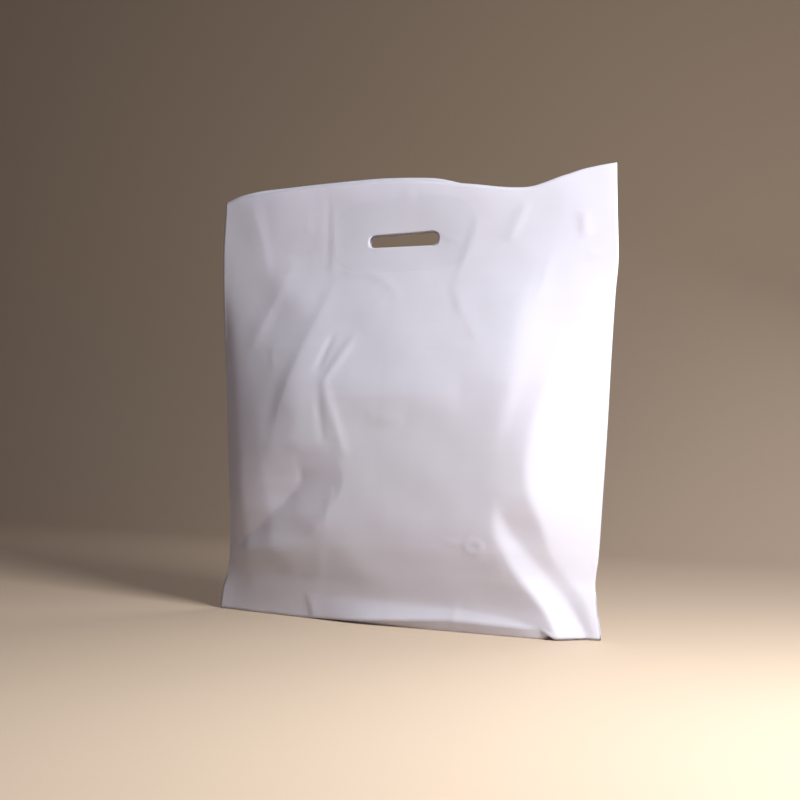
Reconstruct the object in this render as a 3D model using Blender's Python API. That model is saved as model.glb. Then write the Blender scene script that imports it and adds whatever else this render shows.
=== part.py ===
"""A plastic carrier bag with a punched handle, open and standing on its bottom gusset.

The film is one tube of polythene, folded in at the bottom and welded down both sides.
A reinforcing patch lies inside each wall round the handle slot.
X runs across the bag, Y from its front (-Y) to its back (+Y), Z up from the floor it stands on.
The walls stand forward and back of the side welds, which lie in the plane Y = 0.
"""

import bpy
import numpy as np

# Driving dimensions, in metres.
FILM = 0.00045             # wall of the film's solid, which stands in for a much thinner film
GUSSET = 0.050             # depth of the fold in the bottom: the opened base is twice as deep
SLOT_CENTRE = (0.0, 0.4265)  # across, up
SLOT_LENGTH = 0.090
SLOT_HEIGHT = 0.018
PATCH_CENTRE = (0.0, 0.433)
PATCH_HALF = (0.090, 0.043)  # half width, half height
PATCH_SQUARENESS = 3.2     # 2 is an ellipse, more is nearer a rectangle
PATCH_SHEET = 0.0004
PATCH_CLEARANCE = 0.0005   # between a wall's inner face and the patch laid on it
SEAM_HALF_GAP = 0.0002     # half the width of the hollow where the walls meet at a side weld
EAR_HALF_GAP = 0.0012      # half the width of the gusset's fold where it meets a side weld
EAR_FADE = (0.008, 0.020)  # above the gusset's crease and in from a weld, where that width fades
CUTTER_REACH = 0.040       # how far the slot's cutter reaches either side of the welds' plane
COLUMNS = 36               # faces across a wall
ROWS = 24                  # faces up a wall
END_POINTS = 20            # points round each end of the slot and of a patch
PATCH_TURN = 1.19          # how far round each end of a patch they go, in radians
PATCH_RINGS = 5            # rings of points from the slot out to a patch's edge

# Side welds: (height, place across).
LEFT_WELD = ((0.0, -0.2355), (0.021, -0.2336), (0.045, -0.2270), (0.081, -0.2249),
             (0.152, -0.2294), (0.260, -0.2368), (0.369, -0.2450), (0.430, -0.2473),
             (0.490, -0.2455))
RIGHT_WELD = ((0.0, 0.2340), (0.033, 0.2292), (0.055, 0.2273), (0.086, 0.2305),
              (0.144, 0.2339), (0.222, 0.2381), (0.296, 0.2413), (0.359, 0.2447),
              (0.394, 0.2473), (0.454, 0.2453), (0.495, 0.2443))

# Mouth: (place across, height) of the front wall's edge, and how much higher the back wall's is.
FRONT_EDGE = ((-0.246, 0.4865), (-0.212, 0.4925), (-0.111, 0.4955), (-0.048, 0.4958),
              (0.014, 0.4925), (0.073, 0.4845), (0.144, 0.4750), (0.184, 0.4843),
              (0.211, 0.4908), (0.245, 0.4940))
BACK_EDGE_RISE = ((-0.246, 0.0), (-0.180, 0.0055), (0.030, 0.0060), (0.090, 0.0), (0.246, 0.0))

# Front and back bellies: (height, depth from the plane of the welds).
FRONT_BELLY = ((0.0, 0.0300), (0.020, 0.0305), (0.060, 0.0395), (0.090, 0.0462), (0.120, 0.0492),
               (0.190, 0.0500), (0.232, 0.0497), (0.258, 0.0475), (0.290, 0.0400),
               (0.340, 0.0245), (0.400, 0.0095), (0.427, 0.0082), (0.500, 0.0075))
BACK_BELLY = ((0.0, 0.0340), (0.020, 0.0345), (0.060, 0.0420), (0.110, 0.0500), (0.200, 0.0490),
              (0.270, 0.0430), (0.350, 0.0225), (0.400, 0.0095), (0.427, 0.0082),
              (0.500, 0.0075))
# How a wall turns out near its bottom fold: (place across, how far out, height it begins at).
FRONT_LIP = ((-0.240, 0.0, 0.040), (-0.125, 0.0, 0.036), (-0.080, 0.0075, 0.030),
             (0.080, 0.0100, 0.026), (0.150, 0.0100, 0.018), (0.185, 0.0080, 0.009),
             (0.196, 0.0, 0.008), (0.240, 0.0, 0.008))
BACK_LIP = ((-0.240, 0.0, 0.028), (-0.180, 0.006, 0.028), (0.180, 0.006, 0.028),
            (0.240, 0.0, 0.028))

# Profiles of the walls' ends, in rows of (height, and then, going out to a weld: where the belly
# ends, a second place and the depth there, a third place and the depth there). Places are how
# far out from the middle of the bag.
FRONT_RIGHT_END = ((0.000, 0.198, 0.220, 0.0045, 0.2280, 0.0030),
                   (0.016, 0.192, 0.213, 0.0060, 0.2260, 0.0042),
                   (0.041, 0.176, 0.200, 0.0132, 0.2180, 0.0085),
                   (0.060, 0.160, 0.187, 0.0210, 0.2040, 0.0158),
                   (0.087, 0.143, 0.165, 0.0340, 0.1890, 0.0285),
                   (0.110, 0.134, 0.148, 0.0410, 0.1840, 0.0355),
                   (0.134, 0.133, 0.140, 0.0480, 0.1760, 0.0435),
                   (0.150, 0.133, 0.140, 0.0495, 0.1710, 0.0470),
                   (0.173, 0.130, 0.140, 0.0496, 0.1680, 0.0480),
                   (0.265, 0.150, 0.165, 0.0405, 0.1890, 0.0367),
                   (0.331, 0.105, 0.166, 0.0186, 0.2277, 0.0112),
                   (0.394, 0.174, 0.205, 0.0044, 0.2360, 0.0012),
                   (0.500, 0.167, 0.205, 0.0029, 0.2350, 0.0007))
FRONT_LEFT_END = ((0.000, 0.010, 0.120, 0.0215, 0.1900, 0.0110),
                  (0.040, 0.010, 0.120, 0.0275, 0.1880, 0.0165),
                  (0.083, 0.050, 0.145, 0.0400, 0.1880, 0.0285),
                  (0.125, 0.105, 0.150, 0.0455, 0.1930, 0.0330),
                  (0.190, 0.110, 0.160, 0.0420, 0.2020, 0.0285),
                  (0.265, 0.115, 0.170, 0.0335, 0.2180, 0.0190),
                  (0.331, 0.110, 0.180, 0.0180, 0.2300, 0.0090),
                  (0.394, 0.160, 0.205, 0.0055, 0.2340, 0.0020),
                  (0.500, 0.160, 0.205, 0.0040, 0.2340, 0.0010))
BACK_RIGHT_END = ((0.000, 0.170, 0.176, 0.0400, 0.1820, 0.0380),
                  (0.080, 0.140, 0.160, 0.0460, 0.1740, 0.0420),
                  (0.160, 0.110, 0.150, 0.0480, 0.1740, 0.0450),
                  (0.250, 0.110, 0.155, 0.0400, 0.1980, 0.0300),
                  (0.340, 0.110, 0.170, 0.0170, 0.2300, 0.0080),
                  (0.410, 0.165, 0.205, 0.0035, 0.2360, 0.0010),
                  (0.500, 0.165, 0.205, 0.0029, 0.2350, 0.0007))
BACK_LEFT_END = ((0.000, 0.170, 0.176, 0.0400, 0.1820, 0.0380),
                 (0.080, 0.130, 0.150, 0.0470, 0.1660, 0.0430),
                 (0.180, 0.110, 0.140, 0.0480, 0.1660, 0.0450),
                 (0.270, 0.115, 0.150, 0.0380, 0.1930, 0.0300),
                 (0.350, 0.110, 0.170, 0.0150, 0.2320, 0.0070),
                 (0.410, 0.165, 0.205, 0.0035, 0.2360, 0.0010),
                 (0.500, 0.165, 0.205, 0.0029, 0.2350, 0.0007))
# Rounding of the turns in those profiles: (height, radius).
CRISP = ((0.0, 0.0020), (0.130, 0.0030), (0.200, 0.0060), (0.300, 0.0100), (0.500, 0.0100))
SOFT = ((0.0, 0.0140), (0.130, 0.0080), (0.300, 0.0140), (0.500, 0.0100))

# Bottom folds: (place across, lift off the floor), and how far the base's flat is set in.
FRONT_LIFT = ((-0.24, 0.0), (-0.10, 0.0005), (-0.04, 0.003), (0.08, 0.012), (0.185, 0.010),
              (0.20, 0.001), (0.24, 0.0))
BACK_LIFT = ((-0.24, 0.0), (-0.18, 0.001), (-0.10, 0.005), (0.05, 0.004), (0.18, 0.001),
             (0.24, 0.0))
BASE_INSET = 0.011
EAR_LENGTH = 0.050         # how far in from a weld the gusset comes down to the floor

# V-shaped folds by the lower corners, where the gusset pulls a wall in, in rows of
# (height, first crest, bottom of the fold, last crest, depth), places across.
FRONT_LEFT_FOLD = ((0.072, -0.208, -0.199, -0.120, 0.000), (0.084, -0.207, -0.193, -0.100, 0.0042),
                   (0.096, -0.207, -0.171, -0.085, 0.0078), (0.115, -0.207, -0.147, -0.070, 0.0100),
                   (0.133, -0.206, -0.124, -0.055, 0.0100), (0.156, -0.206, -0.103, -0.045, 0.0078),
                   (0.178, -0.190, -0.106, -0.050, 0.0035), (0.200, -0.180, -0.115, -0.060, 0.0))
BACK_RIGHT_FOLD = ((0.000, 0.170, 0.195, 0.230, 0.009), (0.070, 0.150, 0.180, 0.210, 0.012),
                   (0.150, 0.125, 0.150, 0.180, 0.000))
BACK_LEFT_FOLD = ((0.000, -0.232, -0.200, -0.178, 0.009), (0.080, -0.208, -0.178, -0.150, 0.013),
                  (0.165, -0.180, -0.150, -0.130, 0.000))

WHITE_FILM = ("film", (0.83, 0.82, 0.85, 1.0), 0.38)
PATCH_FILM = ("patch_film", (0.86, 0.85, 0.88, 1.0), 0.40)


def curve(stops, at):
    """Value at each place on a smooth curve through the stops: a cubic between each two of them.
    Its slope at a stop is the harmonic mean of the two runs that meet there, or level where one
    rises and the other falls, so it never passes the stops."""
    place, value = np.array(stops).T
    runs = np.diff(value) / np.diff(place)
    slope = np.zeros_like(value)
    rising = runs[:-1] * runs[1:] > 0
    together = np.where(rising, runs[:-1] + runs[1:], 1)
    slope[1:-1] = np.where(rising, 2 * runs[:-1] * runs[1:] / together, 0)
    at = np.clip(at, place[0], place[-1])
    i = np.clip(np.searchsorted(place, at, side="right") - 1, 0, len(place) - 2)
    step = place[i + 1] - place[i]
    u = (at - place[i]) / step
    return (value[i] * (1 + 2 * u) * (1 - u) ** 2 + value[i + 1] * u ** 2 * (3 - 2 * u)
            + step * (slope[i] * u * (1 - u) ** 2 - slope[i + 1] * u ** 2 * (1 - u)))


def straight(stops, at):
    """Value at each place on straight runs between the stops."""
    place, value = np.array(stops).T
    return np.interp(at, place, value)


def rows_at(rows, at):
    """Each column of a table after the first, at each value of the first, from smooth curves
    through its rows."""
    first, *columns = np.array(rows).T
    return [curve(np.stack([first, column], axis=1), at) for column in columns]


def ramp(x, start, end, radius, end_radius):
    """Rise from 0 before the start to 1 after the end, straight between, each turn rounded:
    (|x - start| - |x - end| + end - start) / 2 (end - start), |v| being root(v^2 + radius^2)."""
    rise = np.hypot(x - start, radius) - np.hypot(x - end, end_radius) + end - start
    return rise / (2 * (end - start))


def end_profile(out, z, belly, weld, rows, rounding):
    """Depth along a wall's end, how far out from the middle being given: level with the belly,
    then straight through two points to nothing at the weld."""
    start, second, second_depth, third, third_depth = rows_at(rows, z)
    radius = curve(rounding, z)
    depth = belly + (second_depth - belly) * ramp(out, start, second, radius, radius)
    depth = depth + (third_depth - second_depth) * ramp(out, second, third, radius, radius)
    return depth - third_depth * ramp(out, third, weld, radius, 0)


def fold(x, z, rows):
    """Depth of a V-shaped fold, 0 at its two crests and deepest between them."""
    first, bottom, last, depth = rows_at(rows, z)
    side = np.where(x < bottom, (x - first) / (bottom - first), (last - x) / (last - bottom))
    return depth * np.clip(side, 0, 1)


def wall_depth(x, z, belly, ends, folds):
    """How far a wall's inner face stands from the plane of the welds: the belly, brought down to
    the welds at each end, less the folds."""
    right_weld, left_weld = curve(RIGHT_WELD, z), curve(LEFT_WELD, z)
    (left_rows, left_rounding), (right_rows, right_rounding) = ends
    depth = np.where(x > 0, end_profile(x, z, belly, right_weld, right_rows, right_rounding),
                     end_profile(-x, z, belly, -left_weld, left_rows, left_rounding))
    for rows in folds:
        depth = depth - fold(x, z, rows)
    reach = np.minimum(right_weld - x, x - left_weld)
    spread = np.clip((GUSSET + EAR_FADE[0] - z) / EAR_FADE[0], 0, 1)
    spread = spread * np.clip(1 - reach / EAR_FADE[1], 0, 1)
    return np.maximum(depth, 0) + SEAM_HALF_GAP + EAR_HALF_GAP * spread


def lip(x, z, rows):
    """How far a wall turns out near its bottom fold."""
    out, height = rows_at(rows, x)
    return out * np.clip(1 - z / height, 0, 1) ** 1.3


def front_depth(x, z):
    belly = curve(FRONT_BELLY, z) + lip(x, z, FRONT_LIP)
    return wall_depth(x, z, belly, ((FRONT_LEFT_END, SOFT), (FRONT_RIGHT_END, CRISP)),
                      (FRONT_LEFT_FOLD,))


def back_depth(x, z):
    belly = curve(BACK_BELLY, z) + lip(x, z, BACK_LIP)
    return wall_depth(x, z, belly, ((BACK_LEFT_END, CRISP), (BACK_RIGHT_END, CRISP)),
                      (BACK_RIGHT_FOLD, BACK_LEFT_FOLD))


def across(share, z):
    """Place across the bag at a share of the way from the left weld to the right one."""
    return curve(LEFT_WELD, z) * (1 - share) + curve(RIGHT_WELD, z) * share


def wall_grid(depth, lift, edge_rise, side):
    """Points of a wall's inner face, rows from the bottom fold up to the mouth."""
    turn = np.linspace(0, 1, COLUMNS + 1)
    share = 0.5 * turn + 0.25 * (1 - np.cos(np.pi * turn))
    middle = across(share, 0.25)
    low = straight(lift, middle) + FILM
    high = curve(FRONT_EDGE, middle) + edge_rise(middle)
    up = np.linspace(0, 1, ROWS + 1)[:, None] ** 1.15
    z = low + (high - low) * up
    x = across(share, z)
    return np.stack([x, side * depth(x, z), z], axis=2), share


def gusset_line(share, depth, side):
    """Points where a leaf of the gusset meets the base: on the floor in the middle of the bag,
    and rising towards the gusset's crease at each weld."""
    reach = np.minimum(share, 1 - share) * (RIGHT_WELD[0][1] - LEFT_WELD[0][1])
    down = np.clip(reach / EAR_LENGTH, 0, 1)
    z = FILM + GUSSET * (1 - down)
    x = across(share, z)
    inset = SEAM_HALF_GAP + (BASE_INSET - SEAM_HALF_GAP) * down
    return np.stack([x, side * (depth(x, z) - inset), z], axis=1)


def new_object(name, points, faces, colour):
    """A mesh object with its own material."""
    mesh = bpy.data.meshes.new(name)
    mesh.from_pydata([tuple(p) for p in points.tolist()], [], faces)
    mesh.validate()
    slot, base_color, roughness = colour
    material = bpy.data.materials.new(slot)
    material.use_nodes = True
    shader = material.node_tree.nodes["Principled BSDF"]
    shader.inputs["Base Color"].default_value = base_color
    shader.inputs["Roughness"].default_value = roughness
    mesh.materials.append(material)
    obj = bpy.data.objects.new(name, mesh)
    bpy.context.collection.objects.link(obj)
    return obj


def grid_faces(index, flip=False):
    """Quads between neighbouring points of a grid of point numbers."""
    a, b, c, d = index[:-1, :-1], index[:-1, 1:], index[1:, 1:], index[1:, :-1]
    quads = np.stack([a, b, c, d], axis=2).reshape(-1, 4)
    return (quads[:, ::-1] if flip else quads).tolist()


def end_faces(front, back, front_line, back_line, crease_row, flip):
    """The narrow end of the hollow at a weld: one strip above the gusset's crease, and a fan on
    each side of it below, where the wall and the gusset's leaf are welded together."""
    faces = [[front[j], front[j + 1], back[j + 1], back[j]] for j in range(crease_row, ROWS)]
    faces.append([front_line, front[crease_row], back[crease_row], back_line])
    for j in range(crease_row):
        faces.append([front_line, front[j], front[j + 1]])
        faces.append([back_line, back[j + 1], back[j]])
    return [face[::-1] for face in faces] if flip else faces


def make_film():
    """The bag's film: both walls and the gusset as one sheet, thickened outwards, with the
    handle slot cut through both walls."""
    front, share = wall_grid(front_depth, FRONT_LIFT, lambda x: 0 * x, -1)
    back, share = wall_grid(back_depth, BACK_LIFT, lambda x: curve(BACK_EDGE_RISE, x), 1)
    front_line = gusset_line(share, front_depth, -1)
    back_line = gusset_line(share, back_depth, 1)
    size = (ROWS + 1) * (COLUMNS + 1)
    f = np.arange(size).reshape(ROWS + 1, COLUMNS + 1)
    b = f + size
    g = np.arange(2 * size, 2 * size + 2 * (COLUMNS + 1)).reshape(2, COLUMNS + 1)
    points = np.concatenate([front.reshape(-1, 3), back.reshape(-1, 3), front_line, back_line])
    faces = grid_faces(f) + grid_faces(b, flip=True)
    faces += grid_faces(np.stack([f[0], g[0], g[1], b[0]]), flip=True)
    for column, flip in ((0, False), (COLUMNS, True)):
        crease_row = int(np.argmax(front[:, column, 2] > GUSSET + 0.004))
        faces += end_faces(f[:, column], b[:, column], g[0, column], g[1, column],
                           crease_row, flip)
    film = new_object("bag_film", points, faces, WHITE_FILM)
    thicken = film.modifiers.new("film_thickness", "SOLIDIFY")
    thicken.thickness = FILM
    thicken.offset = 1
    slot = film.modifiers.new("handle_slot", "BOOLEAN")
    slot.operation = "DIFFERENCE"
    slot.solver = "EXACT"
    slot.object = make_slot_cutter()
    return film


def slot_outline():
    """Points round the handle slot: a half circle at each end of a straight run."""
    radius = SLOT_HEIGHT / 2
    turn = np.linspace(-np.pi / 2, np.pi / 2, END_POINTS)
    end_x = SLOT_LENGTH / 2 - radius + radius * np.cos(turn)
    end_z = radius * np.sin(turn)
    return (SLOT_CENTRE[0] + np.concatenate([end_x, -end_x]),
            SLOT_CENTRE[1] + np.concatenate([end_z, -end_z]))


def patch_outline():
    """As many points round a patch, opposite those: a rounded rectangle, |x/a|^n + |z/b|^n = 1."""
    turn = np.linspace(-PATCH_TURN, PATCH_TURN, END_POINTS)
    c, s = np.cos(turn), np.sin(turn)
    size = (np.abs(c) ** PATCH_SQUARENESS + np.abs(s) ** PATCH_SQUARENESS) ** (
        -1 / PATCH_SQUARENESS)
    end_x, end_z = PATCH_HALF[0] * size * c, PATCH_HALF[1] * size * s
    return (PATCH_CENTRE[0] + np.concatenate([end_x, -end_x]),
            PATCH_CENTRE[1] + np.concatenate([end_z, -end_z]))


def make_slot_cutter():
    """The slot's outline run through both walls."""
    x, z = slot_outline()
    y = np.full_like(x, CUTTER_REACH)
    count = len(x)
    points = np.concatenate([np.stack([x, -y, z], axis=1), np.stack([x, y, z], axis=1)])
    ring = np.arange(count)
    after = np.roll(ring, -1)
    faces = np.stack([ring, after, after + count, ring + count], axis=1).tolist()
    faces += [ring[::-1].tolist(), (ring + count).tolist()]
    cutter = new_object("slot_cutter", points, [face[::-1] for face in faces], WHITE_FILM)
    cutter.hide_render = True
    cutter.display_type = "WIRE"
    return cutter


def make_patch(name, depth, side):
    """A patch on a wall's inner face: rings from the slot out to the patch's own edge."""
    slot_x, slot_z = slot_outline()
    edge_x, edge_z = patch_outline()
    rings = np.linspace(0, 1, PATCH_RINGS)[:, None]
    x = slot_x * (1 - rings) + edge_x * rings
    z = slot_z * (1 - rings) + edge_z * rings
    near = depth(x, z) - PATCH_CLEARANCE
    sheets = [np.stack([x, side * (near - laid), z], axis=2) for laid in (0, PATCH_SHEET)]
    count = x.size
    n = np.arange(count).reshape(x.shape)
    closed = np.concatenate([n, n[:, :1]], axis=1)
    loop = closed[[0, -1]]
    faces = grid_faces(closed, flip=side < 0) + grid_faces(closed + count, flip=side > 0)
    faces += grid_faces(np.stack([loop[0] + count, loop[0]]), flip=side < 0)
    faces += grid_faces(np.stack([loop[1], loop[1] + count]), flip=side < 0)
    return new_object(name, np.concatenate([s.reshape(-1, 3) for s in sheets]), faces,
                      (name + "_film",) + PATCH_FILM[1:])


def main():
    for obj in list(bpy.data.objects):
        bpy.data.objects.remove(obj)
    make_film()
    make_patch("front_handle_patch", front_depth, -1)
    make_patch("back_handle_patch", back_depth, 1)


main()
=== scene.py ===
import bpy
import numpy as np
from bpy.props import FloatProperty, FloatVectorProperty, IntProperty, PointerProperty
from mathutils import Matrix, Vector


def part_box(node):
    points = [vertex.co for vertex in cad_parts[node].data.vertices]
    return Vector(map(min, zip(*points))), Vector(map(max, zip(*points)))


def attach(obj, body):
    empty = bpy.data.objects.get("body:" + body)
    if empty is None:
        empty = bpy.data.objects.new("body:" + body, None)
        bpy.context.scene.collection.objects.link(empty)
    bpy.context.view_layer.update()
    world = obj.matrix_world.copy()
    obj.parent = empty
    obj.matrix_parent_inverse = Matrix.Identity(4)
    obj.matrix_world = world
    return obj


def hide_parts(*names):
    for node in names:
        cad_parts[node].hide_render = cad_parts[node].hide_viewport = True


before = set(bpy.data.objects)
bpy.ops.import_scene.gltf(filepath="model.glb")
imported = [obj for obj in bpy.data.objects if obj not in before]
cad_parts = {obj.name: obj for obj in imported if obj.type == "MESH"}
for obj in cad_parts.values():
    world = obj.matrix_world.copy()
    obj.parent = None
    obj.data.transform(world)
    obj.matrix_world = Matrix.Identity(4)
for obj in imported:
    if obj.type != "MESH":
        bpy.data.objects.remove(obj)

bl_info = {
    "name": "Punched Handle Carrier Bag",
    "version": (1, 0, 0),
    "blender": (4, 5, 0),
    "location": "3D Viewport > Sidebar > Carrier Bag",
    "description": "Makes an open film carrier bag with a punched handle, standing on its gusset",
    "category": "Object",
}

PATCH_LOW, PATCH_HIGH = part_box("front_handle_patch")
MM = 0.001

# Shape of the bag, in metres. X runs across it, -Y is its front, Z is up from its base.
GUSSET = 0.050               # depth of the fold in the bottom
SEAM_HALF_GAP = 0.0002       # half the hollow where the walls meet at a side weld
EAR_HALF_GAP = 0.0012        # half the gusset's fold at a side weld
EAR_LENGTH = 0.050           # how far in from a weld the gusset comes down to the floor
EAR_FADE_UP = 0.008          # height above the gusset in which its fold's gap closes
EAR_FADE_IN = 0.020          # how far in from a weld that gap reaches
BASE_INSET = 0.011           # how far the base's flat is set in from the bottom folds
LEAF_STEPS = 6               # strips across each leaf of the gusset
BASE_STEPS = 14              # strips across the base
SLOT_RINGS = 7               # rings of faces round the slot
SLOT_BLOCK = (0.066, 0.026)  # half size of the part of a wall's grid that the rings replace
PATCH_SQUARENESS = 3.2       # 2 is an ellipse, more is nearer a rectangle
LIP_POWER = 1.3              # 1 is a straight slope out to the bottom fold, more is hollow
RELIEF_FADE = 0.030          # how far in from a weld creases and ripples reach their full height
CREASE_ROUNDING = 1.2 * MM   # radius of a crease's crest
CREASE_POWER = 1.6           # 1 is straight flanks, more is hollow ones

# Unevenness of the walls: (height, longest wave) of slow swells and of fine ripples, and the
# seeds that the waves are drawn from.
SWELL = (0.30 * MM, 0.16)
RIPPLE = (0.05 * MM, 0.05)
FRONT_SEED = 3
BACK_SEED = 11

# Spacing of the film's faces.
WELD_CROWDING = 0.3          # 0 is even columns, 1 is columns closing right up at the welds
ROW_POWER = 1.06             # 1 is even rows, more is closer together near the bottom fold
RING_POWER = 0.8             # 1 is even rings, less is closer together near the slot
MIDDLE_HEIGHT = 0.25         # height at which a column's place across is taken for its ends
CREASE_ROW_GAP = 0.002       # least height above the gusset of the first row that is past it

# Look of the film, as shares of its colour and of a shader's range.
GRAIN_SHADE = 0.93           # darkest colour of the grain
PATCH_SHADOW_TONE = 0.86         # painted shade on film that lies on a patch, for the light the patch keeps from coming through
PATCH_SHADOW_SHARE = 0.15         # how much of that painted shade shows
PATCHED_STEP = 0.5           # height of the step round a patch, in the grain's own height
SMOOTHEST = 0.30             # least roughness
ROUGHENING = 0.14            # how much the grain adds to it

# Side welds: (height, place across).
LEFT_WELD = ((0.0, -0.2355), (0.021, -0.2336), (0.045, -0.2270), (0.081, -0.2249),
             (0.152, -0.2294), (0.260, -0.2368), (0.369, -0.2450), (0.430, -0.2473),
             (0.490, -0.2455))
RIGHT_WELD = ((0.0, 0.2340), (0.033, 0.2292), (0.055, 0.2273), (0.086, 0.2305),
              (0.144, 0.2339), (0.222, 0.2381), (0.296, 0.2413), (0.359, 0.2447),
              (0.394, 0.2473), (0.454, 0.2453), (0.495, 0.2443))

# Mouth: (place across, height) of the front wall's edge, and how much higher the back wall's is.
FRONT_EDGE = ((-0.246, 0.4865), (-0.212, 0.4925), (-0.111, 0.4955), (-0.048, 0.4958),
              (0.014, 0.4925), (0.073, 0.4845), (0.144, 0.4750), (0.184, 0.4843),
              (0.211, 0.4908), (0.245, 0.4940))
BACK_EDGE_RISE = ((-0.246, 0.0), (-0.180, 0.0055), (0.030, 0.0060), (0.090, 0.0), (0.246, 0.0))

# Front and back bellies: (height, depth from the plane of the welds).
FRONT_BELLY = ((0.0, 0.0300), (0.020, 0.0305), (0.060, 0.0395), (0.090, 0.0462), (0.120, 0.0492),
               (0.190, 0.0500), (0.232, 0.0497), (0.258, 0.0475), (0.290, 0.0400),
               (0.340, 0.0245), (0.400, 0.0085), (0.427, 0.0058), (0.500, 0.0062))
BACK_BELLY = ((0.0, 0.0340), (0.020, 0.0345), (0.060, 0.0420), (0.110, 0.0500), (0.200, 0.0490),
              (0.270, 0.0430), (0.350, 0.0225), (0.400, 0.0085), (0.427, 0.0058),
              (0.500, 0.0062))
# How a wall turns out near its bottom fold: (place across, how far out, height it begins at).
FRONT_LIP = ((-0.240, 0.0, 0.040), (-0.125, 0.0, 0.036), (-0.080, 0.0075, 0.030),
             (0.080, 0.0100, 0.026), (0.150, 0.0100, 0.018), (0.185, 0.0080, 0.009),
             (0.196, 0.0, 0.008), (0.240, 0.0, 0.008))
BACK_LIP = ((-0.240, 0.0, 0.028), (-0.180, 0.006, 0.028), (0.180, 0.006, 0.028),
            (0.240, 0.0, 0.028))

# Profiles of the walls' ends, in rows of (height, and then, going out to a weld: where the belly
# ends, a second place and the depth there, a third place and the depth there). Places are how
# far out from the middle of the bag.
FRONT_RIGHT_END = ((0.000, 0.198, 0.220, 0.0045, 0.2280, 0.0030),
                   (0.016, 0.192, 0.213, 0.0062, 0.2260, 0.0038),
                   (0.041, 0.176, 0.200, 0.0134, 0.2180, 0.0078),
                   (0.060, 0.160, 0.187, 0.0210, 0.2040, 0.0152),
                   (0.087, 0.143, 0.165, 0.0340, 0.1890, 0.0285),
                   (0.110, 0.134, 0.148, 0.0410, 0.1840, 0.0355),
                   (0.134, 0.133, 0.140, 0.0480, 0.1760, 0.0435),
                   (0.150, 0.133, 0.140, 0.0495, 0.1710, 0.0470),
                   (0.173, 0.130, 0.140, 0.0496, 0.1680, 0.0480),
                   (0.265, 0.150, 0.165, 0.0405, 0.1890, 0.0367),
                   (0.331, 0.148, 0.185, 0.0182, 0.2277, 0.0102),
                   (0.394, 0.160, 0.205, 0.0044, 0.2340, 0.0014),
                   (0.440, 0.110, 0.185, 0.0040, 0.2310, 0.0012),
                   (0.500, 0.100, 0.180, 0.0040, 0.2300, 0.0012))
FRONT_LEFT_END = ((0.000, 0.020, 0.120, 0.0190, 0.1900, 0.0090),
                  (0.040, 0.020, 0.120, 0.0260, 0.1880, 0.0150),
                  (0.083, 0.050, 0.145, 0.0400, 0.1880, 0.0285),
                  (0.125, 0.105, 0.150, 0.0455, 0.1930, 0.0330),
                  (0.190, 0.110, 0.160, 0.0420, 0.2020, 0.0285),
                  (0.265, 0.115, 0.170, 0.0335, 0.2180, 0.0190),
                  (0.331, 0.110, 0.180, 0.0180, 0.2300, 0.0090),
                  (0.394, 0.160, 0.205, 0.0055, 0.2340, 0.0020),
                  (0.500, 0.160, 0.205, 0.0040, 0.2340, 0.0010))
BACK_RIGHT_END = ((0.000, 0.170, 0.176, 0.0400, 0.1820, 0.0380),
                  (0.080, 0.140, 0.160, 0.0460, 0.1740, 0.0420),
                  (0.160, 0.110, 0.150, 0.0480, 0.1740, 0.0450),
                  (0.250, 0.110, 0.155, 0.0400, 0.1980, 0.0300),
                  (0.340, 0.110, 0.170, 0.0170, 0.2300, 0.0080),
                  (0.410, 0.165, 0.205, 0.0035, 0.2360, 0.0010),
                  (0.500, 0.165, 0.205, 0.0029, 0.2350, 0.0007))
BACK_LEFT_END = ((0.000, 0.170, 0.176, 0.0400, 0.1820, 0.0380),
                 (0.080, 0.130, 0.150, 0.0470, 0.1660, 0.0430),
                 (0.180, 0.110, 0.140, 0.0480, 0.1660, 0.0450),
                 (0.270, 0.115, 0.150, 0.0380, 0.1930, 0.0300),
                 (0.350, 0.110, 0.170, 0.0150, 0.2320, 0.0070),
                 (0.410, 0.165, 0.205, 0.0035, 0.2360, 0.0010),
                 (0.500, 0.165, 0.205, 0.0029, 0.2350, 0.0007))
# Rounding of the turns in those profiles: (height, radius).
CRISP = ((0.0, 0.0020), (0.130, 0.0030), (0.200, 0.0060), (0.300, 0.0100), (0.500, 0.0100))
SOFT = ((0.0, 0.0140), (0.130, 0.0080), (0.300, 0.0140), (0.500, 0.0100))

# Bottom folds: (place across, lift off the floor).
FRONT_LIFT = ((-0.24, 0.0), (-0.10, 0.0005), (-0.04, 0.003), (0.08, 0.012), (0.185, 0.010),
              (0.20, 0.001), (0.24, 0.0))
BACK_LIFT = ((-0.24, 0.0), (-0.18, 0.001), (-0.10, 0.005), (0.05, 0.004), (0.18, 0.001),
             (0.24, 0.0))

# V-shaped folds by the lower corners, where the gusset pulls a wall in, in rows of
# (height, first crest, bottom of the fold, last crest, depth), places across.
FRONT_LEFT_FOLD = ((0.072, -0.208, -0.199, -0.120, 0.000),
                   (0.084, -0.207, -0.193, -0.100, 0.0042),
                   (0.096, -0.207, -0.171, -0.085, 0.0078),
                   (0.115, -0.207, -0.147, -0.070, 0.0100),
                   (0.133, -0.206, -0.124, -0.055, 0.0100),
                   (0.156, -0.206, -0.103, -0.045, 0.0078),
                   (0.178, -0.190, -0.106, -0.050, 0.0035),
                   (0.200, -0.180, -0.115, -0.060, 0.0))
BACK_RIGHT_FOLD = ((0.000, 0.170, 0.195, 0.230, 0.009), (0.070, 0.150, 0.180, 0.210, 0.012),
                   (0.150, 0.125, 0.150, 0.180, 0.000))
BACK_LEFT_FOLD = ((0.000, -0.232, -0.200, -0.178, 0.009), (0.080, -0.208, -0.178, -0.150, 0.013),
                  (0.165, -0.180, -0.150, -0.130, 0.000))

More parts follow.
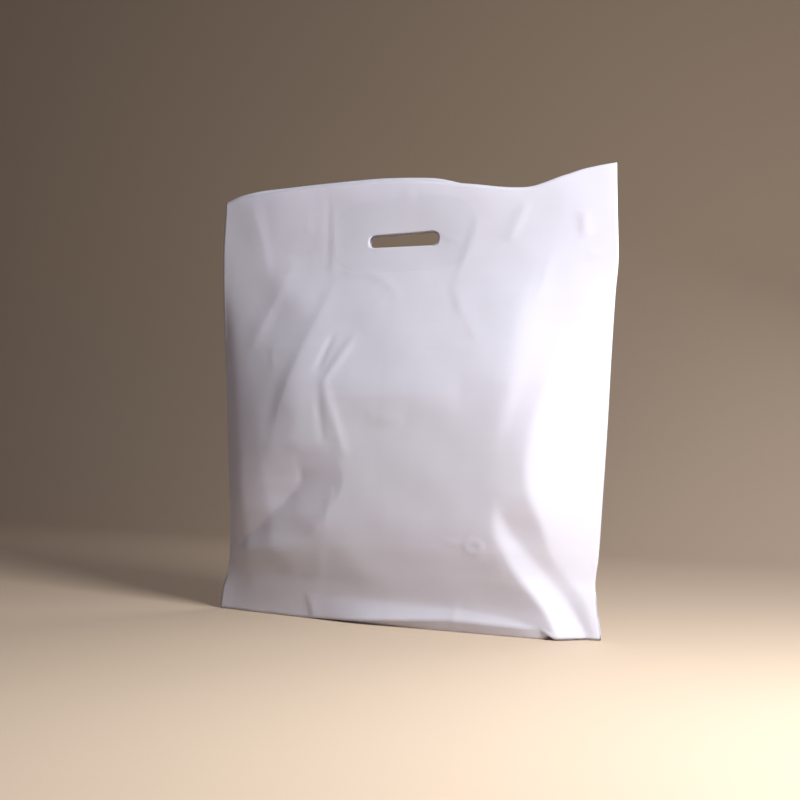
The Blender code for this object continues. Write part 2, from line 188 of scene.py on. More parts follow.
# Creases, in millimetres: (from across, from up, to across, to up, height, width on its left
# as seen going from the first end to the second, width on its right, how far its middle bows to
# the left). A crease with a negative height is a valley.
FRONT_CREASES = (
    (-178, 392, -206, 484, 0.7, 22, 14, -3),    # below the left corner
    (-88, 388, -92, 470, 0.5, 6, 10, 0),        # along the patch's left edge
    (-97, 402, -98, 487, -0.3, 4, 4, 0),
    (-120, 438, -122, 464, 0.35, 4, 5, 5),      # tick beside it
    (-50, 468, -4, 472, 0.5, 7, 5, 0),          # hook above the slot
    (-7, 471, 10, 481, 0.5, 6, 5, 0),
    (17, 468, 17, 485, -0.4, 4, 4, 0),
    (47, 429, 72, 420, 0.35, 5, 4, 0),          # drawn out from the slot's end
    (-150, 175, -79, 386, 1.1, 15, 42, 4),      # long fold from the handle to the left side
    (-200, 288, -138, 412, 0.8, 26, 16, 0),     # its neighbour nearer the weld
    (-159, 305, -131, 305, 0.4, 4, 7, 0),       # small square mark
    (-149, 280, -158, 306, 0.4, 4, 14, 0),
    (-71, 388, 3, 360, 0.6, 7, 9, 14),          # arc below the slot
    (-78, 262, -44, 318, 1.4, 9, 10, 0),        # arms of the Y
    (-88, 276, -73, 320, -1.2, 6, 6, 0),
    (-83, 266, -72, 196, -0.9, 9, 9, 0),
    (-42, 182, -76, 268, 1.2, 16, 9, 0),        # its stem
    (66, 370, 92, 446, 0.7, 8, 20, 0),          # along the patch's right edge
    (85, 334, 66, 373, 0.8, 8, 26, 0),          # and on below it
    (107, 304, 85, 339, 0.5, 8, 16, 0),
    (38, 300, 98, 293, -0.25, 5, 5, 0),
    (127, 417, 148, 460, 0.9, 14, 10, 0),       # below the dip in the mouth
    (164, 348, 175, 396, 0.4, 6, 12, 0),
    (213, 416, 210, 446, 0.9, 9, 14, 0),        # ridge near the right corner
    (214, 400, 236, 399, 0.5, 4, 5, 0),         # across the top of the bright side facet
    (176, 329, 203, 329, 0.35, 4, 5, 0),
    (-18, 224, 26, 224, 0.7, 16, 11, 0),
    (-90, 250, 90, 252, 1.7, 32, 38, 0),        # brow over the lower half
    (72, 97, 101, 93, 0.4, 4, 5, 0),            # crumple
    (99, 92, 111, 99, 0.7, 5, 4, 0),
    (109, 99, 122, 93, 0.6, 4, 5, 0),
    (112, 83, 121, 95, 0.7, 4, 4, -2),
    (98, 92, 114, 83, 0.6, 4, 4, 0),
    (149, 62, 134, 98, -0.35, 4, 4, -1),        # beside the right-hand fold
    (-91, -6, -102, 29, 1.0, 5, 15, 0),         # kinks in the bottom fold
    (84, 0, 86, 30, 0.6, 8, 4, 0),
    (-68, 101, -60, 152, 0.4, 8, 5, 0),         # upright crease low on the wall
    (-92, 22, -70, 98, 0.35, 14, 10, 0),
)
BACK_CREASES = (
    (120, 400, -40, 210, 3.0, 30, 36, 8),
    (40, 330, 150, 240, 2.6, 22, 26, -6),
    (-60, 300, -30, 190, 2.8, 20, 24, 4),
    (-60, 300, -110, 340, 2.0, 14, 14, 0),
    (-150, 390, -120, 280, 2.4, 24, 20, 4),
    (92, 450, 86, 396, 1.0, 6, 6, 0),
    (-92, 466, -90, 404, 1.0, 6, 6, 0),
    (-150, 120, -60, 90, 1.6, 12, 16, 0),
    (30, 150, 110, 80, 1.8, 18, 14, 3),
    (20, 6, 22, 30, 1.2, 8, 5, 0),
)


def curve(stops, at):
    """Value at each place on a smooth curve through the stops: a cubic between each two of them.
    Its slope at a stop is the harmonic mean of the slopes of the two runs that meet there. It is
    level at both ends and where one run rises and the next falls, so it never passes the stops."""
    place, value = np.array(stops).T
    runs = np.diff(value) / np.diff(place)
    slope = np.zeros_like(value)
    rising = runs[:-1] * runs[1:] > 0
    together = np.where(rising, runs[:-1] + runs[1:], 1)
    slope[1:-1] = np.where(rising, 2 * runs[:-1] * runs[1:] / together, 0)
    at = np.clip(at, place[0], place[-1])
    i = np.clip(np.searchsorted(place, at, side="right") - 1, 0, len(place) - 2)
    step = place[i + 1] - place[i]
    u = (at - place[i]) / step
    return (value[i] * (1 + 2 * u) * (1 - u) ** 2 + value[i + 1] * u ** 2 * (3 - 2 * u)
            + step * (slope[i] * u * (1 - u) ** 2 - slope[i + 1] * u ** 2 * (1 - u)))


def straight(stops, at):
    """Value at each place on straight runs between the stops."""
    place, value = np.array(stops).T
    return np.interp(at, place, value)


def rows_at(rows, at):
    """Each column of a table after the first, at each value of the first, from smooth curves
    through its rows."""
    first, *columns = np.array(rows).T
    return [curve(np.stack([first, column], axis=1), at) for column in columns]


def ramp(x, start, end, radius, end_radius):
    """Rise from 0 before the start to 1 after the end, straight between, each turn rounded:
    (|x - start| - |x - end| + end - start) / 2 (end - start), |v| being root(v^2 + radius^2)."""
    rise = np.hypot(x - start, radius) - np.hypot(x - end, end_radius) + end - start
    return rise / (2 * (end - start))


def end_profile(out, z, belly, weld, rows, rounding):
    """Depth along a wall's end, how far out from the middle being given: level with the belly,
    then straight through two points to nothing at the weld."""
    start, second, second_depth, third, third_depth = rows_at(rows, z)
    radius = curve(rounding, z)
    depth = belly + (second_depth - belly) * ramp(out, start, second, radius, radius)
    depth = depth + (third_depth - second_depth) * ramp(out, second, third, radius, radius)
    return depth - third_depth * ramp(out, third, weld, radius, 0)


def fold(x, z, rows):
    """Depth of a V-shaped fold, 0 at its two crests and deepest between them."""
    first, bottom, last, depth = rows_at(rows, z)
    side = np.where(x < bottom, (x - first) / (bottom - first), (last - x) / (last - bottom))
    return depth * np.clip(side, 0, 1)


def crease(x, z, row):
    """Height of a crease: greatest on its line, falling to nothing at its width on either side
    as a power of the share left, and along the line as the root of a half wave."""
    x0, z0, x1, z1, height, left, right, bow = np.array(row) * MM
    run = np.hypot(x1 - x0, z1 - z0)
    ux, uz = (x1 - x0) / run, (z1 - z0) / run
    share = ((x - x0) * ux + (z - z0) * uz) / run
    off = (z - z0) * ux - (x - x0) * uz - bow * 4 * share * (1 - share)
    width = np.where(off > 0, left, right)
    away = (np.sqrt(off ** 2 + CREASE_ROUNDING ** 2) - CREASE_ROUNDING) / width
    along = np.sqrt(np.sin(np.pi * np.clip(share, 0, 1)))
    return height * along * np.clip(1 - away, 0, 1) ** CREASE_POWER


def waves(x, z, seed, size, count=7):
    """Uneven ripples: a sum of sine waves, their headings, phases and lengths drawn from a seed,
    the lengths from a third of the size up to all of it."""
    draw = np.random.default_rng(seed)
    total = np.zeros(np.broadcast(x, z).shape)
    for _ in range(count):
        length = size * draw.uniform(0.33, 1.0)
        heading = draw.uniform(0, np.pi)
        phase = draw.uniform(0, 2 * np.pi)
        total = total + np.sin(2 * np.pi * (x * np.cos(heading) + z * np.sin(heading)) / length
                               + phase)
    return total / np.sqrt(count)


def wall_depth(x, z, belly, ends, folds, creases, seed):
    """How far a wall's inner face stands from the plane of the welds: the belly, brought down to
    the welds at each end, less the folds, plus the creases and a little unevenness."""
    right_weld, left_weld = curve(RIGHT_WELD, z), curve(LEFT_WELD, z)
    (left_rows, left_rounding), (right_rows, right_rounding) = ends
    depth = np.where(x > 0, end_profile(x, z, belly, right_weld, right_rows, right_rounding),
                     end_profile(-x, z, belly, -left_weld, left_rows, left_rounding))
    for rows in folds:
        depth = depth - fold(x, z, rows)
    reach = np.minimum(right_weld - x, x - left_weld)
    relief = SWELL[0] * waves(x, z, seed, SWELL[1]) + RIPPLE[0] * waves(x, z, seed + 1, RIPPLE[1])
    for row in creases:
        relief = relief + crease(x, z, row)
    depth = depth + relief * np.clip(reach / RELIEF_FADE, 0, 1)
    spread = np.clip((GUSSET + EAR_FADE_UP - z) / EAR_FADE_UP, 0, 1)
    spread = spread * np.clip(1 - reach / EAR_FADE_IN, 0, 1)
    return np.maximum(depth, 0) + SEAM_HALF_GAP + EAR_HALF_GAP * spread


def lip(x, z, rows):
    """How far a wall turns out near its bottom fold."""
    out, height = rows_at(rows, x)
    return out * np.clip(1 - z / height, 0, 1) ** LIP_POWER


def front_depth(x, z):
    belly = curve(FRONT_BELLY, z) + lip(x, z, FRONT_LIP)
    return wall_depth(x, z, belly, ((FRONT_LEFT_END, SOFT), (FRONT_RIGHT_END, CRISP)),
                      (FRONT_LEFT_FOLD,), FRONT_CREASES, FRONT_SEED)


def back_depth(x, z):
    belly = curve(BACK_BELLY, z) + lip(x, z, BACK_LIP)
    return wall_depth(x, z, belly, ((BACK_LEFT_END, CRISP), (BACK_RIGHT_END, CRISP)),
                      (BACK_RIGHT_FOLD, BACK_LEFT_FOLD), BACK_CREASES, BACK_SEED)


def across(share, z):
    """Place across the bag at a share of the way from the left weld to the right one."""
    return curve(LEFT_WELD, z) * (1 - share) + curve(RIGHT_WELD, z) * share


def film_settings():
    return bpy.context.scene.carrier_bag_film


def patch_settings():
    return bpy.context.scene.carrier_bag_patches


def column_shares(columns):
    """Shares across the bag, a little closer together near the welds."""
    turn = np.linspace(0, 1, columns + 1)
    return (1 - WELD_CROWDING) * turn + WELD_CROWDING / 2 * (1 - np.cos(np.pi * turn))


def wall_grid(depth, lift, edge_rise, side, columns, rows, thickness):
    """Points of a wall's inner face, rows from the bottom fold up to the mouth."""
    share = column_shares(columns)
    middle = across(share, MIDDLE_HEIGHT)
    low = straight(lift, middle) + thickness
    high = curve(FRONT_EDGE, middle) + edge_rise(middle)
    up = np.linspace(0, 1, rows + 1)[:, None] ** ROW_POWER
    z = low + (high - low) * up
    x = across(share, z)
    return np.stack([x, side * depth(x, z), z], axis=2)


def gusset_line(columns, depth, side, thickness):
    """Points where a leaf of the gusset meets the base: on the floor in the middle of the bag,
    and rising towards the gusset's crease at each weld."""
    share = column_shares(columns)
    reach = np.minimum(share, 1 - share) * (RIGHT_WELD[0][1] - LEFT_WELD[0][1])
    down = np.clip(reach / EAR_LENGTH, 0, 1)
    z = thickness + GUSSET * (1 - down)
    x = across(share, z)
    inset = SEAM_HALF_GAP + (BASE_INSET - SEAM_HALF_GAP) * down
    return np.stack([x, side * (depth(x, z) - inset), z], axis=1)


def grid_faces(index, flip=False):
    """Quads between neighbouring points of a grid of point numbers."""
    a, b, c, d = index[:-1, :-1], index[:-1, 1:], index[1:, 1:], index[1:, :-1]
    quads = np.stack([a, b, c, d], axis=2).reshape(-1, 4)
    return (quads[:, ::-1] if flip else quads).tolist()


def slot_point(x, z, side):
    """The point of the slot's edge nearest to each point: from the nearest point of the slot's
    middle line, out by half the slot's height there. The back wall's slot lies a little to the
    left of the front wall's."""
    film = film_settings()
    centre = film.slot_across - (film.slot_slip if side > 0 else 0)
    run = (film.slot_length - film.slot_height) / 2
    core = np.clip(x - centre, -run, run)
    radius = film.slot_height / 2 + film.slot_taper * core / run
    away = np.hypot(x - centre - core, z - film.slot_up)
    return (centre + core + radius * (x - centre - core) / away,
            film.slot_up + radius * (z - film.slot_up) / away)


def slot_block(grid):
    """First and last rows and columns of the part of a wall's grid that holds the slot."""
    film = film_settings()
    x, z = grid[grid.shape[0] // 2, :, 0], grid[:, grid.shape[1] // 2, 2]
    columns = np.flatnonzero(np.abs(x - film.slot_across) < SLOT_BLOCK[0])
    rows = np.flatnonzero(np.abs(z - film.slot_up) < SLOT_BLOCK[1])
    return rows[0], rows[-1], columns[0], columns[-1]


def slot_rings(grid, index, depth, side, first):
    """Rings of points and faces between the slot's edge and the block of the grid left out for
    it. Each ring is the block's border moved a share of the way to the nearest slot edge."""
    r0, r1, c0, c1 = slot_block(grid)
    border = np.concatenate([index[r0, c0:c1], index[r0:r1, c1], index[r1, c1:c0:-1],
                             index[r1:r0:-1, c0]])
    flat = grid.reshape(-1, 3)[border - index[0, 0]]
    slot_x, slot_z = slot_point(flat[:, 0], flat[:, 2], side)
    share = (np.linspace(0, 1, SLOT_RINGS + 1)[1:] ** RING_POWER)[:, None]
    x = flat[:, 0] * (1 - share) + slot_x * share
    z = flat[:, 2] * (1 - share) + slot_z * share
    points = np.stack([x, side * depth(x, z), z], axis=2)
    rings = np.concatenate([border[None], first + np.arange(x.size).reshape(x.shape)])
    rings = np.concatenate([rings, rings[:, :1]], axis=1)
    return points.reshape(-1, 3), grid_faces(rings, flip=side > 0)


def wall_faces(grid, index, side):
    """A wall's quads, apart from those of the block that holds the slot."""
    r0, r1, c0, c1 = slot_block(grid)
    keep = np.ones((index.shape[0] - 1, index.shape[1] - 1), bool)
    keep[r0:r1, c0:c1] = False
    quads = np.array(grid_faces(index, flip=side > 0))
    return quads[keep.reshape(-1)].tolist()


def end_faces(front, back, front_leaf, crest, back_leaf, crease_row, flip):
    """The narrow end of the hollow at a weld: a strip between the walls above the gusset's
    crease, triangles down to the crease's crest, and a fan on each side below it, where a wall
    and the gusset's leaf are welded together. A leaf is its end's points, bottom fold first."""
    low, high = front[crease_row], back[crease_row]
    faces = [[front[j], front[j + 1], back[j + 1], back[j]]
             for j in range(crease_row, len(front) - 1)]
    faces += [[crest[k], low, crest[k + 1]] for k in range(len(crest) - 1)]
    faces.append([crest[-1], low, high])
    faces += leaf_fans(front[:crease_row + 1], front_leaf)
    faces += [face[::-1] for face in leaf_fans(back[:crease_row + 1], back_leaf)]
    faces = [[int(corner) for corner in face] for face in faces]
    return [face[::-1] for face in faces] if flip else faces


def leaf_fans(wall, leaf):
    """Triangles between the end of a wall and the end of the gusset's leaf beside it. Both start
    at the bottom fold, and each step takes a point from whichever is the further behind."""
    faces, i, j = [], 0, 0
    while i < len(wall) - 1 or j < len(leaf) - 1:
        behind = (i + 1) * (len(leaf) - 1) <= (j + 1) * (len(wall) - 1)
        take_wall = i < len(wall) - 1 and (behind or j == len(leaf) - 1)
        corners = [leaf[j], wall[i], wall[i + 1] if take_wall else leaf[j + 1]]
        i, j = (i + 1, j) if take_wall else (i, j + 1)
        if len(set(corners)) == 3:
            faces.append(corners)
    return faces


def new_mesh_object(name, points, faces):
    """A mesh object at the origin, shaded smooth."""
    mesh = bpy.data.meshes.new(name)
    mesh.from_pydata(points.tolist(), [], faces)
    mesh.update()
    mesh.shade_smooth()
    obj = bpy.data.objects.new(name, mesh)
    bpy.context.scene.collection.objects.link(obj)
    return obj


def film_shape(columns, rows, thickness):
    """The film's inner face as points and faces: two walls, each with its slot, the gusset with
    its two leaves and the base between them, and the narrow ends at the welds."""
    front = wall_grid(front_depth, FRONT_LIFT, lambda x: 0 * x, -1, columns, rows, thickness)
    back = wall_grid(back_depth, BACK_LIFT, lambda x: curve(BACK_EDGE_RISE, x), 1, columns, rows,
                     thickness)
    size = front.shape[0] * front.shape[1]
    f = np.arange(size).reshape(front.shape[:2])
    b = f + size
    front_line = gusset_line(columns, front_depth, -1, thickness)
    back_line = gusset_line(columns, back_depth, 1, thickness)
    leaf = np.linspace(0, 1, LEAF_STEPS + 1)[:, None, None]
    base = np.linspace(0, 1, BASE_STEPS + 1)[1:-1, None, None]
    bottom = np.concatenate([front[0] * (1 - leaf[1:]) + front_line * leaf[1:],
                             front_line * (1 - base) + back_line * base,
                             back_line * (1 - leaf[:-1]) + back[0] * leaf[:-1]])
    g = 2 * size + np.arange(bottom.shape[0] * bottom.shape[1]).reshape(bottom.shape[:2])
    points = [front.reshape(-1, 3), back.reshape(-1, 3), bottom.reshape(-1, 3)]
    faces = wall_faces(front, f, -1) + wall_faces(back, b, 1)
    faces += grid_faces(np.concatenate([f[:1], g, b[:1]]), flip=True)
    for column, flip in ((0, False), (columns, True)):
        crease_row = int(np.argmax(front[:, column, 2] > GUSSET + CREASE_ROW_GAP))
        front_leaf = [f[0, column], *g[:LEAF_STEPS, column]]
        back_leaf = [b[0, column], *g[:-LEAF_STEPS - 1:-1, column]]
        crest = g[LEAF_STEPS - 1:len(g) - LEAF_STEPS + 1, column]
        faces += end_faces(f[:, column], b[:, column], front_leaf, crest, back_leaf, crease_row,
                           flip)
    first = sum(len(p) for p in points)
    for grid, index, depth, side in ((front, f, front_depth, -1), (back, b, back_depth, 1)):
        ring_points, ring_faces = slot_rings(grid, index, depth, side, first)
        points.append(ring_points)
        faces += ring_faces
        first += len(ring_points)
    return np.concatenate(points), faces


def patch_shape(depth, side):
    """A patch on a wall's inner face, as points and faces: rings from the slot's edge out to the
    patch's own, |x/a|^n + |z/b|^n = 1, on both of its faces, joined round both edges."""
    patch = patch_settings()
    turn = np.linspace(0, 2 * np.pi, patch.corners, endpoint=False)
    c, s = np.cos(turn), np.sin(turn)
    size = (np.abs(c) ** PATCH_SQUARENESS + np.abs(s) ** PATCH_SQUARENESS) ** (
        -1 / PATCH_SQUARENESS)
    edge_x = patch.across + patch.half_width * size * c
    edge_z = patch.up + patch.half_height * size * s
    slot_x, slot_z = slot_point(edge_x, edge_z, side)
    rings = np.linspace(0, 1, patch.rings + 1)[:, None]
    x = slot_x * (1 - rings) + edge_x * rings
    z = slot_z * (1 - rings) + edge_z * rings
    near = depth(x, z) - patch.clearance
    sheets = [np.stack([x, side * (near - laid), z], axis=2) for laid in (0, patch.thickness)]
    number = np.arange(x.size).reshape(x.shape)
    closed = np.concatenate([number, number[:, :1]], axis=1)
    inner, outer = closed[0], closed[-1]
    flip = side < 0
    faces = grid_faces(closed, flip=flip) + grid_faces(closed + x.size, flip=not flip)
    faces += grid_faces(np.stack([inner + x.size, inner]), flip=flip)
    faces += grid_faces(np.stack([outer, outer + x.size]), flip=flip)
    return np.concatenate([sheet.reshape(-1, 3) for sheet in sheets]), faces


class Tree:
    """A node tree being built: add() makes a node, sets its values and joins its inputs."""

    def __init__(self, tree):
        self.tree = tree

    def add(self, kind, inputs=None, **settings):
        node = self.tree.nodes.new(kind)
        for key, value in settings.items():
            setattr(node, key, value)
        for key, value in (inputs or {}).items():
            if isinstance(value, bpy.types.NodeSocket):
                self.tree.links.new(value, node.inputs[key])
            else:
                node.inputs[key].default_value = value
        return node

    def maths(self, operation, *values, clamp=False):
        node = self.add("ShaderNodeMath", dict(enumerate(values)), operation=operation,
                        use_clamp=clamp)
        return node.outputs[0]

    def mix(self, factor, a, b):
        node = self.add("ShaderNodeMix", {"Factor": factor, 6: a, 7: b}, data_type="RGBA")
        return node.outputs[2]


def new_group(name, inputs, outputs):
    """A shader node group with named float, colour and vector sockets, and its tree."""
    group = bpy.data.node_groups.new(name, "ShaderNodeTree")
    for way, sockets in (("INPUT", inputs), ("OUTPUT", outputs)):
        for label, kind, value in sockets:
            socket = group.interface.new_socket(label, in_out=way, socket_type=kind)
            if value is not None:
                socket.default_value = value
    tree = Tree(group)
    return group, tree, tree.add("NodeGroupInput"), tree.add("NodeGroupOutput")


def film_grain_group():
    """Unevenness of blown film. Clouds are slow noise, lines are fine streaks across the bag,
    the way the film was drawn, and crinkle is small creased noise. Shade is clouds and lines
    together from 0 to 1, and Height is crinkle and lines together, for a bump."""
    group, tree, given, made = new_group(
        "film_grain",
        (("Position", "NodeSocketVector", None), ("Line Strength", "NodeSocketFloat", 0.3),
         ("Crinkle Strength", "NodeSocketFloat", 0.5)),
        (("Shade", "NodeSocketFloat", None), ("Height", "NodeSocketFloat", None)))
    place = given.outputs["Position"]
    clouds = tree.add("ShaderNodeTexNoise", {"Vector": place, "Scale": 9.0, "Detail": 3.0})
    drawn = tree.add("ShaderNodeMapping", {"Vector": place, "Scale": (3.0, 3.0, 420.0)})
    lines = tree.add("ShaderNodeTexNoise", {"Vector": drawn.outputs[0], "Scale": 1.0,
                                            "Detail": 2.0})
    crinkle = tree.add("ShaderNodeTexNoise", {"Vector": place, "Scale": 60.0, "Detail": 4.0,
                                              "Distortion": 0.6})
    streak = tree.maths("MULTIPLY", lines.outputs["Fac"], given.outputs["Line Strength"])
    shade = tree.maths("MULTIPLY_ADD", clouds.outputs["Fac"], 0.7, streak)
    rough = tree.maths("MULTIPLY_ADD", crinkle.outputs["Fac"], given.outputs["Crinkle Strength"],
                       streak)
    tree.tree.links.new(shade, made.inputs["Shade"])
    tree.tree.links.new(rough, made.inputs["Height"])
    return group


def film_material(name, colour, translucency, group, patched):
    """White polythene film: a satin surface over a body that lets some light through, with the
    film's grain in its colour, roughness and bump. Where it is patched, the film lying on the
    patch is painted a little darker, a painted shade for the light the patch keeps from coming
    through, with a faint step round it."""
    material = bpy.data.materials.new(name)
    material.use_nodes = True
    tree = Tree(material.node_tree)
    shader = material.node_tree.nodes["Principled BSDF"]
    out = material.node_tree.nodes["Material Output"]
    place = tree.add("ShaderNodeTexCoord").outputs["Object"]
    grain = tree.add("ShaderNodeGroup", node_tree=group)
    grain.inputs["Line Strength"].default_value = 0.35
    grain.inputs["Crinkle Strength"].default_value = 0.5
    tree.tree.links.new(place, grain.inputs["Position"])
    shade, height = grain.outputs["Shade"], grain.outputs["Height"]
    darker = tuple(GRAIN_SHADE * channel for channel in colour[:3]) + (1.0,)
    tone = tree.mix(shade, darker, tuple(colour[:3]) + (1.0,))
    if patched:
        inside = patch_mask(tree, place)
        # painted shade: the film over the patch is darkened for the light the patch keeps from
        # coming through
        tone = tree.mix(tree.maths("MULTIPLY", inside, PATCH_SHADOW_SHARE), tone,
                        tuple(PATCH_SHADOW_TONE * channel for channel in colour[:3]) + (1.0,))
        height = tree.maths("ADD", height, tree.maths("MULTIPLY", inside, PATCHED_STEP))
    bump = tree.add("ShaderNodeBump", {"Height": height, "Strength": 0.25, "Distance": 0.0006})
    rough = tree.maths("MULTIPLY_ADD", shade, ROUGHENING, SMOOTHEST)
    links = material.node_tree.links
    links.new(tone, shader.inputs["Base Color"])
    links.new(rough, shader.inputs["Roughness"])
    links.new(bump.outputs["Normal"], shader.inputs["Normal"])
    shader.inputs["IOR"].default_value = 1.51
    glow = tree.add("ShaderNodeBsdfTranslucent", {"Color": tone})
    both = tree.add("ShaderNodeMixShader", {0: translucency, 1: shader.outputs[0],
                                            2: glow.outputs[0]})
    links.new(both.outputs[0], out.inputs["Surface"])
    return material


def patch_mask(tree, place):
    """1 inside the patch's outline and 0 outside, with a soft step, from |x/a|^n + |z/b|^n."""
    patch = patch_settings()
    apart = tree.add("ShaderNodeSeparateXYZ", {0: place})
    total = None
    for axis, centre, half in (("X", patch.across, patch.half_width),
                               ("Z", patch.up, patch.half_height)):
        share = tree.maths("DIVIDE", tree.maths("SUBTRACT", apart.outputs[axis], centre), half)
        power = tree.maths("POWER", tree.maths("ABSOLUTE", share), PATCH_SQUARENESS)
        total = power if total is None else tree.maths("ADD", total, power)
    inside = tree.add("ShaderNodeMapRange", {"Value": total, "From Min": 0.96, "From Max": 1.04,
                                             "To Min": 1.0, "To Max": 0.0})
    return inside.outputs[0]


class CarrierBagFilm(bpy.types.PropertyGroup):
    columns: IntProperty(name="Columns", description="Faces across each wall", default=150,
                         min=20, max=400)
    rows: IntProperty(name="Rows", description="Faces up each wall", default=140, min=20, max=400)
    thickness: FloatProperty(name="Film Thickness", description="Wall of the film's mesh",
                             default=0.00035, min=0.00005, unit="LENGTH")
    slot_length: FloatProperty(name="Slot Length", description="Length of the handle slot",
                               default=0.0865, unit="LENGTH")
    slot_height: FloatProperty(name="Slot Height", description="Height of the handle slot",
                               default=0.0152, unit="LENGTH")
    slot_across: FloatProperty(name="Slot Across", description="Place of the slot across the bag",
                               default=0.0, unit="LENGTH")
    slot_slip: FloatProperty(name="Slot Slip", description="How far left the back wall's slot is",
                             default=0.0045, unit="LENGTH")
    slot_taper: FloatProperty(name="Slot Taper", unit="LENGTH", default=0.0005,
                              description="How much its right end is higher than its middle")
    slot_up: FloatProperty(name="Slot Up", description="Height of the slot's middle line",
                           default=0.4265, unit="LENGTH")
    colour: FloatVectorProperty(name="Film Colour", description="Colour of the white film",
                                subtype="COLOR", size=3, default=(0.83, 0.81, 0.87))
    translucency: FloatProperty(name="Translucency", description="Share of light let through",
                                default=0.42, min=0, max=1, subtype="FACTOR")


class CarrierBagPatches(bpy.types.PropertyGroup):
    half_width: FloatProperty(name="Half Width", description="Half of a patch's width",
                              default=(PATCH_HIGH.x - PATCH_LOW.x) / 2, unit="LENGTH")
    half_height: FloatProperty(name="Half Height", description="Half of a patch's height",
                               default=(PATCH_HIGH.z - PATCH_LOW.z) / 2, unit="LENGTH")
    across: FloatProperty(name="Across", description="Place of a patch's middle across the bag",
                          default=(PATCH_HIGH.x + PATCH_LOW.x) / 2, unit="LENGTH")
    up: FloatProperty(name="Up", description="Height of a patch's middle",
                      default=(PATCH_HIGH.z + PATCH_LOW.z) / 2, unit="LENGTH")
    thickness: FloatProperty(name="Thickness", description="Wall of a patch's mesh",
                             default=0.0003, unit="LENGTH")
    clearance: FloatProperty(name="Clearance", description="Gap between a wall and its patch",
                             default=0.0002, unit="LENGTH")
    corners: IntProperty(name="Corners", description="Points round a patch", default=160, min=16)
    rings: IntProperty(name="Rings", description="Rings of faces on a patch", default=16, min=2)
    colour: FloatVectorProperty(name="Patch Colour", description="Colour of the patch film",
                                subtype="COLOR", size=3, default=(0.86, 0.85, 0.88))


class CarrierBagStage(bpy.types.PropertyGroup):
    floor_colour: FloatVectorProperty(name="Floor Colour", description="Colour of the floor",
                                      subtype="COLOR", size=3, default=(0.57, 0.44, 0.32))
    key_power: FloatProperty(name="Key Light", description="Power of the light on the right",
                             default=29.0, unit="POWER")
    fill_power: FloatProperty(name="Fill Light", description="Power of the light at the front",
                              default=2.4, unit="POWER")
    back_power: FloatProperty(name="Back Light", description="Power of the light behind",
                              default=10.0, unit="POWER")
    world_strength: FloatProperty(name="Surrounding Light", default=0.10,
                                  description="Strength of the light from all round")
    lens: FloatProperty(name="Lens", description="Focal length in millimetres", default=57.6)


class OBJECT_OT_carrier_bag_film(bpy.types.Operator):
    """Make the bag's film: both walls and the gusset, with the handle slot through the walls"""
    bl_idname = "object.carrier_bag_film"
    bl_label = "Bag Film"

    def execute(self, context):
        film = context.scene.carrier_bag_film
        points, faces = film_shape(film.columns, film.rows, film.thickness)
        bag = new_mesh_object("carrier_bag", points, faces)
        wall = bag.modifiers.new("film_thickness", "SOLIDIFY")
        wall.thickness = film.thickness
        wall.offset = 1
        bag.data.materials.append(film_material(
            "white_film", film.colour, film.translucency, bpy.data.node_groups["film_grain"],
            True))
        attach(bag, "root")
        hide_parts("bag_film")
        return {"FINISHED"}


class OBJECT_OT_carrier_bag_patches(bpy.types.Operator):
    """Make the two reinforcing patches inside the walls, round the handle slot"""
    bl_idname = "object.carrier_bag_patches"
    bl_label = "Handle Patches"

    def execute(self, context):
        colour = context.scene.carrier_bag_patches.colour
        material = film_material("patch_film", colour,
                                 context.scene.carrier_bag_film.translucency,
                                 bpy.data.node_groups["film_grain"], False)
        for side, where, depth in ((-1, "front", front_depth), (1, "back", back_depth)):
            patch = new_mesh_object(where + "_patch", *patch_shape(depth, side))
            patch.data.materials.append(material)
            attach(patch, "root")
            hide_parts(where + "_handle_patch")
        return {"FINISHED"}


class OBJECT_OT_carrier_bag_grain(bpy.types.Operator):
    """Make the node group for the unevenness of blown film, which the film and patches share"""
    bl_idname = "object.carrier_bag_grain"
    bl_label = "Film Grain"

    def execute(self, context):
        film_grain_group()
        return {"FINISHED"}


def add_light(name, place, target, size, power, colour):
    """A square area light at a place, facing a target."""
    lamp = bpy.data.lights.new(name, "AREA")
    lamp.size = size
    lamp.energy = power
    lamp.color = colour
    obj = bpy.data.objects.new(name, lamp)
    obj.location = place
    obj.rotation_euler = (Vector(target) - Vector(place)).to_track_quat("-Z", "Y").to_euler()
    bpy.context.scene.collection.objects.link(obj)
    return obj


def floor_shape(half_width, front, back, rise, bend):
    """A floor that turns up into a backdrop: flat to the bend, a quarter circle, then upright."""
    turn = np.linspace(0, np.pi / 2, 24)
    y = np.concatenate([[-front], back + bend * np.sin(turn), [back + bend]])
    z = np.concatenate([[0.0], bend - bend * np.cos(turn), [rise]])
    x = np.linspace(-half_width, half_width, 2)[:, None]
    grid = np.stack(np.broadcast_arrays(x, y, z), axis=2)
    index = np.arange(grid.shape[0] * grid.shape[1]).reshape(grid.shape[:2])
    return grid.reshape(-1, 3), grid_faces(index)


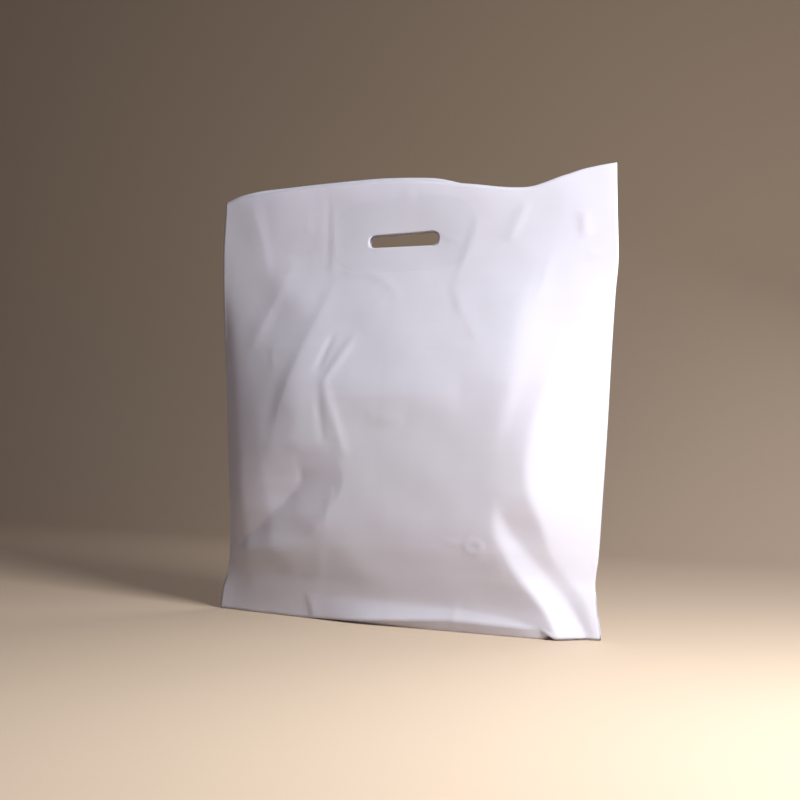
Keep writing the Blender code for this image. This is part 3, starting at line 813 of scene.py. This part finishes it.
class OBJECT_OT_carrier_bag_stage(bpy.types.Operator):
    """Make the floor, the lights and the camera"""
    bl_idname = "object.carrier_bag_stage"
    bl_label = "Stage"

    def execute(self, context):
        stage = context.scene.carrier_bag_stage
        shape = floor_shape(half_width=6.0, front=4.0, back=1.2, rise=5.0, bend=0.8)
        floor = new_mesh_object("floor", *shape)
        material = bpy.data.materials.new("floor_paper")
        material.use_nodes = True
        shader = material.node_tree.nodes["Principled BSDF"]
        shader.inputs["Base Color"].default_value = (*stage.floor_colour, 1.0)
        shader.inputs["Roughness"].default_value = 0.8
        floor.data.materials.append(material)
        add_light("key_light", place=(1.0, -0.52, 0.78), target=(0.0, 0.0, 0.28), size=0.45,
                  power=stage.key_power, colour=(0.925, 0.955, 1.0))
        add_light("fill_light", place=(-1.7, -1.8, 1.1), target=(0.0, 0.0, 0.25), size=2.0,
                  power=stage.fill_power, colour=(0.93, 0.92, 1.0))
        add_light("back_light", place=(0.5, 1.3, 1.3), target=(0.0, 0.0, 0.3), size=1.0,
                  power=stage.back_power, colour=(0.93, 0.92, 1.0))
        world = bpy.data.worlds.new("surround")
        world.use_nodes = True
        sky = world.node_tree.nodes["Background"]
        sky.inputs["Color"].default_value = (0.93, 0.91, 1.0, 1.0)
        sky.inputs["Strength"].default_value = stage.world_strength
        context.scene.world = world
        context.scene.view_settings.view_transform = "Standard"
        add_camera(stage.lens)
        return {"FINISHED"}


def add_camera(lens):
    """A camera in front of the bag and to its right, at about a third of its height."""
    data = bpy.data.cameras.new("camera")
    data.lens = lens
    data.sensor_width = 36.0
    camera = bpy.data.objects.new("camera", data)
    place = (0.6505, -1.2712, 0.1775)
    yaw, tilt, roll = np.radians((27.2, 2.8, 1.28))
    turn = Matrix.Rotation(yaw, 4, "Z") @ Matrix.Rotation(np.pi / 2 + tilt, 4, "X")
    turn = turn @ Matrix.Rotation(roll, 4, "Z")
    camera.matrix_world = Matrix.Translation(place) @ turn
    bpy.context.scene.collection.objects.link(camera)
    bpy.context.scene.camera = camera


class VIEW3D_PT_carrier_bag(bpy.types.Panel):
    bl_label = "Carrier Bag"
    bl_idname = "VIEW3D_PT_carrier_bag"
    bl_space_type = "VIEW_3D"
    bl_region_type = "UI"
    bl_category = "Carrier Bag"

    def draw(self, context):
        for operator in STEPS:
            self.layout.operator(operator.bl_idname)


GROUPS = (("carrier_bag_film", CarrierBagFilm), ("carrier_bag_patches", CarrierBagPatches),
          ("carrier_bag_stage", CarrierBagStage))
STEPS = (OBJECT_OT_carrier_bag_grain, OBJECT_OT_carrier_bag_film, OBJECT_OT_carrier_bag_patches,
         OBJECT_OT_carrier_bag_stage)


def register():
    for name, group in GROUPS:
        bpy.utils.register_class(group)
        setattr(bpy.types.Scene, name, PointerProperty(type=group))
    for kind in (*STEPS, VIEW3D_PT_carrier_bag):
        bpy.utils.register_class(kind)


def unregister():
    for kind in (VIEW3D_PT_carrier_bag, *reversed(STEPS)):
        bpy.utils.unregister_class(kind)
    for name, group in reversed(GROUPS):
        delattr(bpy.types.Scene, name)
        bpy.utils.unregister_class(group)


def main():
    register()
    for name in ("Cube", "Light", "Camera"):
        if name in bpy.data.objects:
            bpy.data.objects.remove(bpy.data.objects[name])
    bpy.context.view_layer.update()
    bpy.ops.object.carrier_bag_grain()
    bpy.ops.object.carrier_bag_film()
    bpy.ops.object.carrier_bag_patches()
    bpy.ops.object.carrier_bag_stage()


if __name__ == "__main__":
    main()
